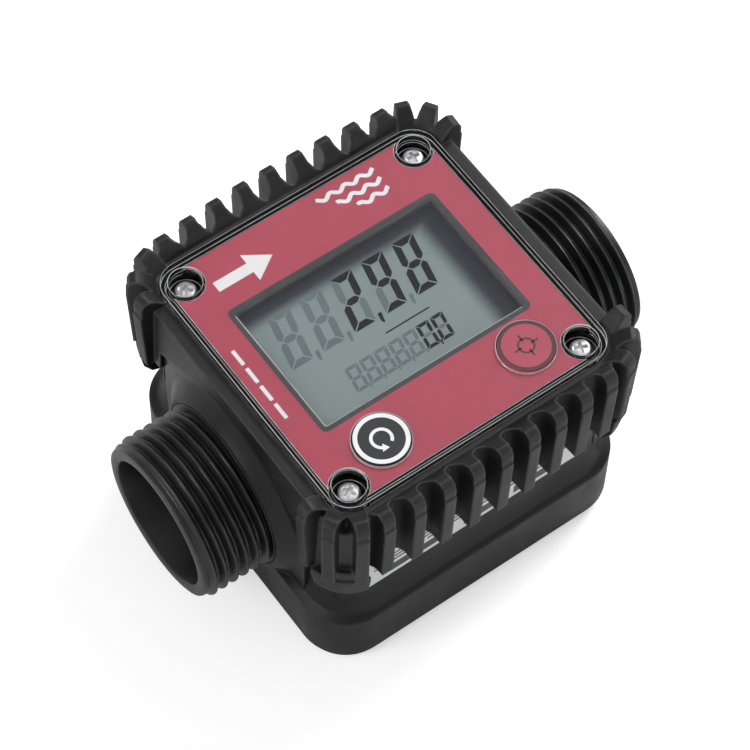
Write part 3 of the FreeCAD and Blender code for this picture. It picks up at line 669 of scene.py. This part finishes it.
def buildDigits(settings):
    # lit segments in one mesh and resting ones in another, just over the display
    lit, ghost = bmesh.new(), bmesh.new()
    bottom = panelTop + settings["lift"] * mm
    top = bottom + settings["thickness"] * mm

    def draw(bm, outline, x, y, slant):
        points = [((x + px + slant * py) * mm, (y + py) * mm) for px, py in outline]
        slab(bm, points, bottom, top)

    for key in ("large", "small"):
        row = settings[key]
        low = -row["height"] / 2
        s = row["stroke"]
        for place, figure in enumerate(row["reading"]):
            x = row["start"] + place * row["pitch"]
            for letter in "abcdefg":
                outline = segmentOutline(letter, row["width"], row["height"], s, settings["segmentGap"])
                draw(lit if letter in litSegments[figure] else ghost, outline, x, row["y"], row["slant"])
            between = row["pitch"] / 2 - s * settings["commaLead"]
            mark = [(between + s * px, low + s * py) for px, py in settings["comma"]]
            if place < len(row["reading"]) - 1:
                draw(lit if place == row["mark"] else ghost, mark, x, row["y"], row["slant"])
    rule = settings["rule"]
    half = rule["width"] / 2
    draw(lit, [(rule["x0"], -half), (rule["x1"], -half), (rule["x1"], half), (rule["x0"], half)],
         0, rule["y"], 0)
    fromBmesh("litSegments", lit, segmentDark, "housing")
    fromBmesh("restingSegments", ghost, segmentGhost, "housing")


buildDigits(displayDigits)
print("display digits built")


windowTrim = {
    "lap": 0.5, "borderWidth": 0.95, "cornerRadius": 1.3, "lift": 0.006, "thickness": 0.015,
    "chamferWidth": 0.42, "chamferDepth": 0.45, "chamferCorner": 0.6, "lowCornerShare": 0.6, "steps": 8,
}


def roundedLoop(bm, half, radius, centre, z, steps):
    # vertices round a rectangle with round corners, sizes in millimetres, height in metres
    loop = []
    for quarter, (sx, sy) in enumerate(((1, 1), (-1, 1), (-1, -1), (1, -1))):
        cx, cy = centre[0] + sx * (half[0] - radius), centre[1] + sy * (half[1] - radius)
        for step in range(steps + 1):
            turn = math.radians(90 * quarter + 90 * step / steps)
            x, y = cx + radius * math.cos(turn), cy + radius * math.sin(turn)
            loop.append(bm.verts.new((x * mm, y * mm, z)))
    return loop


def buildWindowTrim(settings):
    # raised dark border round the display window and the chamfer inside it
    centre = [value / mm for value in middle("display_panel")[:2]]
    half = [corner("display_panel", 1, axis) / mm - centre[axis] - settings["lap"] for axis in (0, 1)]
    bottom = labelTop + settings["lift"] * mm
    top = bottom + settings["thickness"] * mm
    wide = [value + settings["borderWidth"] for value in half]
    outer, inner, steps = settings["cornerRadius"], settings["chamferCorner"], settings["steps"]
    bm = bmesh.new()
    joinLoops(bm, [roundedLoop(bm, wide, outer, centre, bottom, steps),
                   roundedLoop(bm, wide, outer, centre, top, steps),
                   roundedLoop(bm, half, inner, centre, top, steps),
                   roundedLoop(bm, half, inner, centre, bottom, steps)])
    fromBmesh("windowBorder", bm, windowGrey, "housing")
    narrow = [value - settings["chamferWidth"] for value in half]
    low = labelTop - settings["chamferDepth"] * mm
    bm = bmesh.new()
    joinLoops(bm, [roundedLoop(bm, half, inner, centre, labelTop, steps),
                   roundedLoop(bm, narrow, inner * settings["lowCornerShare"], centre, low, steps),
                   roundedLoop(bm, half, inner, centre, low - settings["chamferDepth"] * mm, steps)])
    # the chamfer's front and left sides keep the pale painted highlight
    chamfer = fromBmesh("windowChamfer", bm, windowChamferHighlight, "housing")
    # its back and right sides lie in the cover's shade
    chamfer.data.materials.append(windowGrey)
    for face in chamfer.data.polygons:
        beyond = [face.center[axis] / mm - centre[axis] - narrow[axis] + inner for axis in (0, 1)]
        if max(beyond) > 0:
            face.material_index = 1


buildWindowTrim(windowTrim)
print("window trim built")


crossScrews = {
    "around": 64, "rings": 22, "armHalf": 0.36, "armReach": 1.35, "wallSlope": 0.16, "endSlope": 0.3,
    "recessDepth": 0.75, "domeDrop": 0.35, "edgeDrop": 0.3, "edgeStart": 0.9, "threadDepth": 0.2,
    "threadPitch": 1.0, "threadRoot": 0.25, "threadCrest": 0.6, "shankAround": 20, "shankLap": 0.05,
    "tipLength": 1.4, "tipShare": 0.3, "smoothAngle": 35,
    # turn of the first cross and the step to the next, in radians
    "firstTurn": 0.5, "turnStep": 1.9,
}


def recessDepth(x, y, settings):
    # depth of the cross recess at one place on the head, with sloping walls
    share = 0.0
    for along, across in ((x, y), (y, x)):
        wide = (settings["armHalf"] - abs(across)) / settings["wallSlope"]
        far = (settings["armReach"] - abs(along)) / settings["endSlope"]
        share = max(share, min(1.0, wide, far))
    return settings["recessDepth"] * share


def lathe(bm, profile, around, place, up):
    # closed turned form from (radius, height) points
    rings = []
    for radius, z in profile:
        row = []
        for index in range(around):
            turn = 2 * math.pi * index / around
            x, y = radius * math.cos(turn), radius * math.sin(turn)
            row.append(bm.verts.new((place[0] + x * mm, place[1] + y * mm, place[2] + up * z * mm)))
        rings.append(row)
    joinLoops(bm, rings, closed=False)
    bm.faces.new(rings[0])
    bm.faces.new(rings[-1])


def crossHead(bm, radius, height, place, up, twist, settings):
    # pan head whose crown is a fine grid, so that the cross recess is part of the same skin
    around, count, edgeStart = settings["around"], settings["rings"], settings["edgeStart"]
    rows = []
    for step in range(1, count + 1):
        share = step / count
        row = []
        for index in range(around):
            turn = 2 * math.pi * index / around
            x, y = radius * share * math.cos(turn), radius * share * math.sin(turn)
            z = -settings["domeDrop"] * share ** 4 - recessDepth(x, y, settings)
            z -= settings["edgeDrop"] * max(0.0, share - edgeStart) / (1 - edgeStart)
            wx = x * math.cos(twist) - y * math.sin(twist)
            wy = x * math.sin(twist) + y * math.cos(twist)
            row.append(bm.verts.new((place[0] + wx * mm, place[1] + wy * mm, place[2] + up * z * mm)))
        rows.append(row)
    centre = bm.verts.new((place[0], place[1], place[2] - up * settings["recessDepth"] * mm))
    for index in range(around):
        after = (index + 1) % around
        bm.faces.new((centre, rows[0][index], rows[0][after]))
    under = []
    for index in range(around):
        turn = 2 * math.pi * index / around + twist
        under.append(bm.verts.new((place[0] + radius * mm * math.cos(turn),
                                   place[1] + radius * mm * math.sin(turn),
                                   place[2] - up * height * mm)))
    joinLoops(bm, rows + [under], closed=False)
    bm.faces.new(under)


def buildScrews(name, node, spots, head, up, settings):
    # pan-head screws that take the place of one node: crown at the box's end, thread to its other end
    bm = bmesh.new()
    low, high = corner(node, 0, 2), corner(node, 1, 2)
    crown = high if up > 0 else low
    length = (high - low) / mm
    pitch, major = settings["threadPitch"], head["shankRadius"]
    minor = major - settings["threadDepth"]
    for number, (x, y) in enumerate(spots):
        place = (x, y, crown)
        twist = settings["firstTurn"] + settings["turnStep"] * number
        crossHead(bm, head["radius"], head["height"], place, up, twist, settings)
        profile = [(major, -head["height"] + settings["shankLap"])]
        turns = int((length - head["height"] - settings["tipLength"]) / pitch)
        for turn in range(turns):
            z = -head["height"] - turn * pitch
            profile += [(minor, z - settings["threadRoot"] * pitch),
                        (major, z - settings["threadCrest"] * pitch), (minor, z - pitch)]
        profile.append((minor * settings["tipShare"], -length))
        lathe(bm, profile, settings["shankAround"], place, up)
    screws = fromBmesh(name, bm, zincSteel, "housing", settings["smoothAngle"])
    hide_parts(node)


coverHead = {"radius": 2.1, "height": 1.7, "shankRadius": 1.25}
hatchHead = {"radius": 2.1, "height": 1.2, "shankRadius": 1.2}
screwX = corner("cover_screws", 1, 0) - coverHead["radius"] * mm
screwY = corner("cover_screws", 1, 1) - coverHead["radius"] * mm
hatchX = corner("hatch_screws", 1, 0) - hatchHead["radius"] * mm
coverSpots = [(sx * screwX, sy * screwY) for sx in (-1, 1) for sy in (-1, 1)]
buildScrews("coverCrossScrews", "cover_screws", coverSpots, coverHead, 1, crossScrews)
buildScrews("hatchCrossScrews", "hatch_screws", [(-hatchX, 0.0), (hatchX, 0.0)], hatchHead, -1, crossScrews)
print("screws built")


def annulus(bm, centre, inner, outer, bottom, top, start=0.0, sweep=360.0, steps=96):
    # flat ring or arc, sizes in millimetres, heights in metres
    closed = sweep >= 360
    rows = []
    count = steps if closed else steps + 1
    for index in range(count):
        turn = math.radians(start + sweep * index / steps)
        row = []
        for radius, z in ((inner, bottom), (outer, bottom), (outer, top), (inner, top)):
            row.append(bm.verts.new((centre[0] + radius * mm * math.cos(turn),
                                     centre[1] + radius * mm * math.sin(turn), z)))
        rows.append(row)
    joinLoops(bm, rows, closed)
    if not closed:
        bm.faces.new(rows[0])
        bm.faces.new(rows[-1])


buttonMarks = {
    "lift": 0.012, "thickness": 0.02,
    "resetRing": (4.3, 5.15),
    "resetArc": {"radius": 1.9, "stroke": 0.62, "start": -50, "sweep": 290, "steps": 40,
                 "headHalf": 0.85, "headLength": 1.3},
    "calRing": (4.62, 5.22),
    "calSight": {"radius": 1.5, "stroke": 0.34, "tick": 1.1, "lap": 0.5},
}


def buildButtonMarks(settings):
    # white ring and a turning arrow on the black button, a dark ring and a cross sight on the red one
    for node, body in (("reset_button", "reset_key"), ("cal_button", "cal_key")):
        x, y = middle(node)[:2]
        bottom = corner(node, 1, 2) + settings["lift"] * mm
        top = bottom + settings["thickness"] * mm
        bm = bmesh.new()
        if node == "reset_button":
            annulus(bm, (x, y), *settings["resetRing"], bottom, top)
            arc = settings["resetArc"]
            half = arc["stroke"] / 2
            annulus(bm, (x, y), arc["radius"] - half, arc["radius"] + half, bottom, top, arc["start"],
                    arc["sweep"], arc["steps"])
            turn = math.radians(arc["start"] + arc["sweep"])
            out = Vector((math.cos(turn), math.sin(turn)))
            along = Vector((-out.y, out.x))
            tip = Vector((x, y)) + out * arc["radius"] * mm
            wide, ahead = out * arc["headHalf"] * mm, along * arc["headLength"] * mm
            slab(bm, [tip + wide, tip + ahead, tip - wide], bottom, top)
            fromBmesh("resetMark", bm, labelWhite, body)
        else:
            annulus(bm, (x, y), *settings["calRing"], bottom, top)
            sight = settings["calSight"]
            half = sight["stroke"] / 2
            annulus(bm, (x, y), sight["radius"] - half, sight["radius"] + half, bottom, top)
            for quarter in range(4):
                turn = math.radians(90 * quarter)
                out = Vector((math.cos(turn), math.sin(turn)))
                side = Vector((-out.y, out.x))
                near = Vector((x, y)) + out * (sight["radius"] - sight["lap"]) * mm
                far = near + out * (sight["tick"] + sight["lap"]) * mm
                wide = side * half * mm
                slab(bm, [near - wide, far - wide, far + wide, near + wide], bottom, top)
            fromBmesh("calMark", bm, buttonRing, body)


buildButtonMarks(buttonMarks)
print("button marks built")


labelMarks = {
    "lift": 0.006, "thickness": 0.01,
    "arrow": {"x": -21.6, "y": 21.9, "length": 12.5, "stem": 2.3, "head": 6.6, "headLength": 5.0},
    "waves": {"x": 4.2, "y": 26.6, "step": 2.5, "length": (13.0, 10.0, 7.0), "stroke": 0.85, "height": 0.45,
              "wave": 3.3, "points": 36},
    "dashes": {"x": -26.8, "y": 9.0, "length": 3.6, "gap": 0.9, "count": 4, "width": 0.75},
}


def ribbon(bm, points, stroke, bottom, top):
    # flat strip of one width along a line of points in metres
    left, right = [], []
    for index, point in enumerate(points):
        before, after = points[max(0, index - 1)], points[min(len(points) - 1, index + 1)]
        along = (after - before).normalized()
        side = Vector((-along.y, along.x)) * stroke / 2
        left.append(point + side)
        right.append(point - side)
    slab(bm, left + right[::-1], bottom, top)


def buildLabelMarks(settings):
    # printed marks: a flow arrow, three wave lines and a dashed rule
    bm = bmesh.new()
    bottom = labelTop + settings["lift"] * mm
    top = bottom + settings["thickness"] * mm
    arrow = settings["arrow"]
    x0, y0 = arrow["x"], arrow["y"]
    neck, tip = x0 + arrow["length"] - arrow["headLength"], x0 + arrow["length"]
    stem, head = arrow["stem"] / 2, arrow["head"] / 2
    outline = [(x0, -stem), (neck, -stem), (neck, -head), (tip, 0), (neck, head), (neck, stem), (x0, stem)]
    slab(bm, [(x * mm, (y0 + y) * mm) for x, y in outline], bottom, top)
    waves = settings["waves"]
    for row, length in enumerate(waves["length"]):
        points = []
        start = waves["x"] + (waves["length"][0] - length)
        for index in range(waves["points"] + 1):
            x = start + length * index / waves["points"]
            swing = waves["height"] * math.sin(2 * math.pi * x / waves["wave"])
            points.append(Vector((x, waves["y"] - row * waves["step"] + swing)) * mm)
        ribbon(bm, points, waves["stroke"] * mm, bottom, top)
    dashes = settings["dashes"]
    half = dashes["width"] / 2
    for index in range(dashes["count"]):
        high = dashes["y"] - index * (dashes["length"] + dashes["gap"])
        low = high - dashes["length"]
        x = dashes["x"]
        outline = [(x - half, low), (x + half, low), (x + half, high), (x - half, high)]
        slab(bm, [(px * mm, py * mm) for px, py in outline], bottom, top)
    fromBmesh("labelMarks", bm, labelWhite, "housing")


buildLabelMarks(labelMarks)
print("label marks built")


stickerMarks = {
    "thickness": 0.03,
    # left end, lower edge, length and height of each printed bar
    "bars": [(2.0, 9.2, 14.0, 1.2), (18.5, 9.2, 9.0, 1.2), (30.0, 9.2, 16.0, 1.2), (2.0, 7.2, 20.0, 0.5),
             (25.0, 7.2, 21.0, 0.5), (2.0, 6.0, 20.0, 0.5), (25.0, 6.0, 21.0, 0.5), (2.0, 4.8, 11.0, 0.5),
             (14.0, 4.8, 8.0, 0.5), (25.0, 4.8, 17.0, 0.5), (5.5, 1.2, 5.0, 2.4), (13.0, 1.2, 6.0, 2.4),
             (22.5, 1.2, 8.5, 2.4), (34.0, 1.2, 9.0, 2.4)],
}


def buildStickerMarks(settings):
    # plain grey bars on the sticker's front
    bm = bmesh.new()
    left, front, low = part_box("rating_sticker")[0]
    ahead = front - settings["thickness"] * mm
    for x, z, length, height in settings["bars"]:
        x0, x1 = left + x * mm, left + (x + length) * mm
        z0, z1 = low + z * mm, low + (z + height) * mm
        outline = ((x0, z0), (x1, z0), (x1, z1), (x0, z1))
        near = [bm.verts.new((px, front, pz)) for px, pz in outline]
        far = [bm.verts.new((px, ahead, pz)) for px, pz in outline]
        bm.faces.new(near)
        bm.faces.new(far)
        bridge(bm, near, far)
    fromBmesh("stickerMarks", bm, stickerInk, "housing")


buildStickerMarks(stickerMarks)
print("sticker marks built")


studio = {
    "floorSize": 6.0, "floorTone": 0.82, "floorLift": 0.5, "floorRoughness": 0.9, "floorSpecular": 0.1,
    "floorGap": 0.00005, "aim": (0, 0, 0.03),
    "lamps": {
        "key": {"place": (1.0, 0.30, 0.95), "size": 0.6, "power": 15.0},
        "left": {"place": (-1.1, 0.1, 0.8), "size": 0.6, "power": 8.0},
        "front": {"place": (0.5, -1.1, 0.28), "size": 0.5, "power": 1.8},
    },
    "skyTone": 0.36,
}


def seenDirectly(tree):
    # 1 for what the camera sees, straight or through glass
    path = addNode(tree, "ShaderNodeLightPath", (-700, 0))
    return maths(tree, "MAXIMUM", path.outputs["Is Camera Ray"], path.outputs["Is Transmission Ray"])


def buildStudio(settings):
    # white floor that keeps the shadow, a plain sky and three soft lamps
    half = settings["floorSize"] / 2
    bm = bmesh.new()
    bm.faces.new([bm.verts.new(point) for point in ((-half, -half, 0), (half, -half, 0), (half, half, 0),
                                                    (-half, half, 0))])
    mesh = bpy.data.meshes.new("studioFloor")
    bm.to_mesh(mesh)
    bm.free()
    floor = bpy.data.objects.new("studioFloor", mesh)
    bpy.context.scene.collection.objects.link(floor)
    material, tree, shader = newMaterial("paleFloor")
    tone, lift = settings["floorTone"], settings["floorLift"]
    shader.inputs["Base Color"].default_value = (tone, tone, tone, 1)
    shader.inputs["Roughness"].default_value = settings["floorRoughness"]
    shader.inputs["Specular IOR Level"].default_value = settings["floorSpecular"]
    shader.inputs["Emission Color"].default_value = (1, 1, 1, 1)
    tree.links.new(maths(tree, "MULTIPLY", seenDirectly(tree), lift), shader.inputs["Emission Strength"])
    # see-through from below, so the foot's underside can be looked at
    geometry = addNode(tree, "ShaderNodeNewGeometry", (-500, -300))
    tree.links.new(maths(tree, "SUBTRACT", 1.0, geometry.outputs["Backfacing"]), shader.inputs["Alpha"])
    mesh.materials.append(material)
    floor.location = (0, 0, -settings["floorGap"])

    world = bpy.data.worlds.new("studioSky")
    bpy.context.scene.world = world
    world.use_nodes = True
    tree = world.node_tree
    background = tree.nodes["Background"]
    background.inputs["Color"].default_value = (1, 1, 1, 1)
    setRange(tree, seenDirectly(tree), (settings["skyTone"], 1), background.inputs["Strength"])

    for name, lamp in settings["lamps"].items():
        data = bpy.data.lights.new(name, "AREA")
        data.energy = lamp["power"]
        data.shape = "SQUARE"
        data.size = lamp["size"]
        light = bpy.data.objects.new(name, data)
        bpy.context.scene.collection.objects.link(light)
        light.location = lamp["place"]
        direction = Vector(settings["aim"]) - Vector(lamp["place"])
        light.rotation_euler = direction.to_track_quat("-Z", "Y").to_euler()


buildStudio(studio)
print("studio built")


cameraSetup = {
    "aim": (0.00039, 0.00218, 0.02798), "azimuth": 37.216, "elevation": 59.021, "distance": 0.55456,
    "roll": 1.718, "lens": 140.63, "sensor": 36, "clipStart": 0.01,
}


def buildCamera(settings):
    azimuth, elevation = math.radians(settings["azimuth"]), math.radians(settings["elevation"])
    level = settings["distance"] * math.cos(elevation)
    aim = Vector(settings["aim"])
    place = aim + Vector((-level * math.sin(azimuth), -level * math.cos(azimuth),
                          settings["distance"] * math.sin(elevation)))
    data = bpy.data.cameras.new("studioCamera")
    data.lens = settings["lens"]
    data.sensor_width = settings["sensor"]
    data.clip_start = settings["clipStart"]
    camera = bpy.data.objects.new("studioCamera", data)
    bpy.context.scene.collection.objects.link(camera)
    look = (aim - place).to_track_quat("-Z", "Y").to_matrix().to_4x4()
    roll = Matrix.Rotation(math.radians(settings["roll"]), 4, "Z")
    camera.matrix_world = Matrix.Translation(place) @ look @ roll
    bpy.context.scene.camera = camera


buildCamera(cameraSetup)
bpy.context.scene.view_settings.view_transform = "Standard"

print("scene ready")
